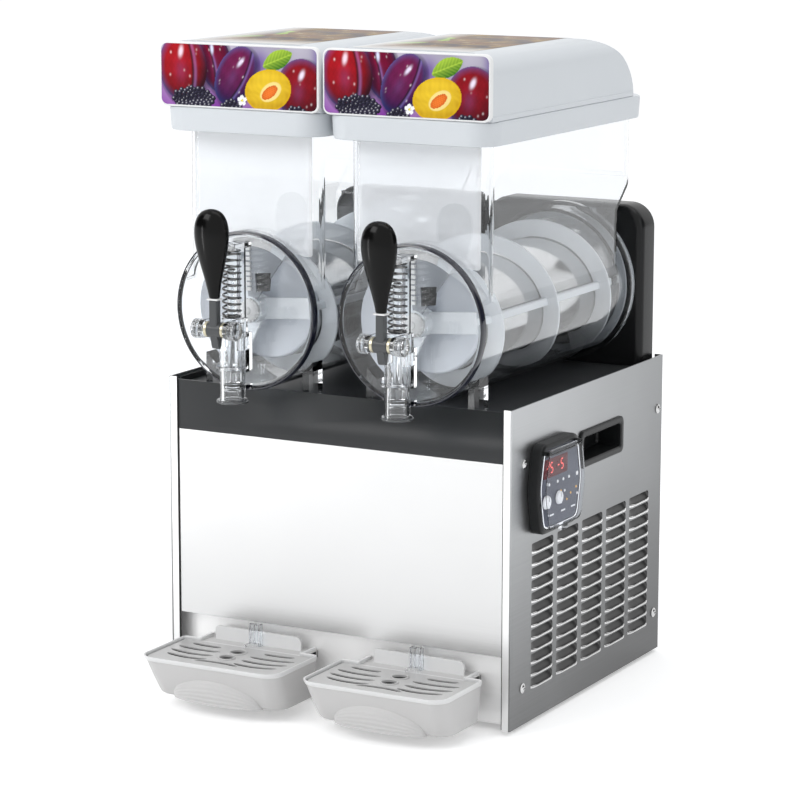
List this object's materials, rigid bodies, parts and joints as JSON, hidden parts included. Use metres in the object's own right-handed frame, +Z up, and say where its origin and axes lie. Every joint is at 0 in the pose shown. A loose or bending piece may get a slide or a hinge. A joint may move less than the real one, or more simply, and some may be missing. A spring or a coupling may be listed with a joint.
{
  "type": "slush machine",
  "caption": "Frozen drink machine: cabinet, clear bowls with augers, spring taps, lift-off lids and hoods, and drip trays.",
  "frame": {"origin": "middle of the whole footprint, on the surface that the feet stand on", "axes": "+Z up, -Y towards the taps and drip trays at the front, +X towards the side with the control panel"},
  "size_m": [0.4218, 0.4926, 0.685],
  "materials": {
    "satin_steel": "satin brushed stainless",
    "bright_steel": "bright polished stainless sheet",
    "mirror_steel": "mirror polished stainless",
    "dark_plastic": "fine textured black moulding",
    "gloss_black": "polished black moulding",
    "grey_plastic": "clear knurled ends with pale brass washers",
    "pale_grey": "semi gloss light grey moulding",
    "tray_grey": "light grey moulding",
    "auger_white": "milky translucent moulding",
    "clear_plastic": "clear polished moulding with a slight blue tint",
    "slate_blue": "printed membrane",
    "dial_white": "white moulding",
    "picture_print": "printed fruit still life behind a clear face",
    "soft_rubber": "black rubber",
    "clear_rubber": "translucent silicone",
    "cast_metal": "die cast housing",
    "enamel_black": "black enamel",
    "condenser_fins": "bare aluminium fins",
    "drier_copper": "spun copper"
  },
  "bodies": {
    "cabinet": {"base_pan": "satin_steel", "bowl_gasket_left": "clear_rubber", "bowl_gasket_right": "clear_rubber", "bowl_left": "clear_plastic", "bowl_right": "clear_plastic", "cable_gland": "soft_rubber", "compressor": "enamel_black", "condenser": "condenser_fins", "control_face": "slate_blue", "control_housing": "dark_plastic", "electrical_box": "tray_grey", "evaporator_left": "mirror_steel", "evaporator_right": "mirror_steel", "fan_motor": "cast_metal", "fan_shroud": "enamel_black", "filter_drier": "drier_copper", "foot_front_left": "soft_rubber", "foot_front_right": "soft_rubber", "foot_rear_left": "soft_rubber", "foot_rear_right": "soft_rubber", "front_kick_panel": "satin_steel", "front_panel": "bright_steel", "gear_motor_left": "cast_metal", "gear_motor_right": "cast_metal", "grip_pocket_left": "dark_plastic", "grip_pocket_right": "dark_plastic", "rear_panel": "satin_steel", "rear_tower_left": "dark_plastic", "rear_tower_right": "dark_plastic", "side_panel_left": "satin_steel", "side_panel_right": "satin_steel", "tap_pin_left": "grey_plastic", "tap_pin_right": "grey_plastic", "tap_spring_left": "bright_steel", "tap_spring_right": "bright_steel", "top_deck": "dark_plastic"},
    "fan": {"fan_blade": "cast_metal"},
    "cover": {"control_cover": "clear_plastic"},
    "dial_front": {"dial_front": "dial_white"},
    "dial_rear": {"dial_rear": "dial_white"},
    "auger_left": {"auger_left": "auger_white", "drive_shaft_left": "bright_steel", "auger_nut_left": "auger_white"},
    "lid_left": {"lid_left": "pale_grey", "hood_left": "pale_grey", "picture_panel_left": "picture_print"},
    "tap_handle_left": {"tap_handle_left": "gloss_black"},
    "tap_plunger_left": {"tap_plunger_left": "clear_plastic"},
    "drip_tray_left": {"drip_tray_left": "tray_grey", "tray_grid_left": "tray_grey"},
    "auger_right": {"auger_right": "auger_white", "drive_shaft_right": "bright_steel", "auger_nut_right": "auger_white"},
    "lid_right": {"lid_right": "pale_grey", "hood_right": "pale_grey", "picture_panel_right": "picture_print"},
    "tap_handle_right": {"tap_handle_right": "gloss_black"},
    "tap_plunger_right": {"tap_plunger_right": "clear_plastic"},
    "drip_tray_right": {"drip_tray_right": "tray_grey", "tray_grid_right": "tray_grey"}
  },
  "joints": [
    {"name": "auger_spin_left", "type": "hinge", "parent": "cabinet", "child": "auger_left", "pos_m": [-0.10335, -0.04225, 0.412], "axis": [0, 1, 0], "continuous": true},
    {"name": "lid_lift_left", "type": "slide", "parent": "cabinet", "child": "lid_left", "axis": [0, 0, 1], "range_m": [0, 0.12]},
    {"name": "tap_handle_pull_left", "type": "hinge", "parent": "cabinet", "child": "tap_handle_left", "pos_m": [-0.10335, -0.21625, 0.401], "axis": [1, 0, 0], "range_deg": [0, 30], "stiffness_Nm_per_rad": 0.8, "springref_deg": -17.19},
    {"name": "tap_plunger_lift_left", "type": "slide", "parent": "cabinet", "child": "tap_plunger_left", "axis": [0, 0, 1], "range_m": [0, 0.0168], "deforming": ["tap_spring_left"]},
    {"name": "drip_tray_pull_left", "type": "slide", "parent": "cabinet", "child": "drip_tray_left", "axis": [0, -1, 0], "range_m": [0, 0.16]},
    {"name": "auger_spin_right", "type": "hinge", "parent": "cabinet", "child": "auger_right", "pos_m": [0.08725, -0.04225, 0.412], "axis": [0, 1, 0], "continuous": true},
    {"name": "lid_lift_right", "type": "slide", "parent": "cabinet", "child": "lid_right", "axis": [0, 0, 1], "range_m": [0, 0.12]},
    {"name": "tap_handle_pull_right", "type": "hinge", "parent": "cabinet", "child": "tap_handle_right", "pos_m": [0.08725, -0.21625, 0.401], "axis": [1, 0, 0], "range_deg": [0, 30], "stiffness_Nm_per_rad": 0.8, "springref_deg": -17.19},
    {"name": "tap_plunger_lift_right", "type": "slide", "parent": "cabinet", "child": "tap_plunger_right", "axis": [0, 0, 1], "range_m": [0, 0.0168], "deforming": ["tap_spring_right"]},
    {"name": "drip_tray_pull_right", "type": "slide", "parent": "cabinet", "child": "drip_tray_right", "axis": [0, -1, 0], "range_m": [0, 0.16]},
    {"name": "fan_spin", "type": "hinge", "parent": "cabinet", "child": "fan", "pos_m": [0.12195, 0.05275, 0.1113], "axis": [1, 0, 0], "continuous": true},
    {"name": "control_cover_flip", "type": "hinge", "parent": "cabinet", "child": "cover", "pos_m": [0.20675, -0.05525, 0.2825], "axis": [0, -1, 0], "range_deg": [0, 100]},
    {"name": "dial_front_turn", "type": "hinge", "parent": "cabinet", "child": "dial_front", "pos_m": [0.20595, -0.09025, 0.232], "axis": [1, 0, 0], "range_deg": [-135, 135]},
    {"name": "dial_rear_turn", "type": "hinge", "parent": "cabinet", "child": "dial_rear", "pos_m": [0.20595, -0.06225, 0.232], "axis": [1, 0, 0], "range_deg": [-135, 135]}
  ],
  "couplings": [
    {"joint": "tap_plunger_lift_left", "follows": "tap_handle_pull_left", "m_per_rad": 0.032},
    {"joint": "tap_plunger_lift_right", "follows": "tap_handle_pull_right", "m_per_rad": 0.032}
  ]
}
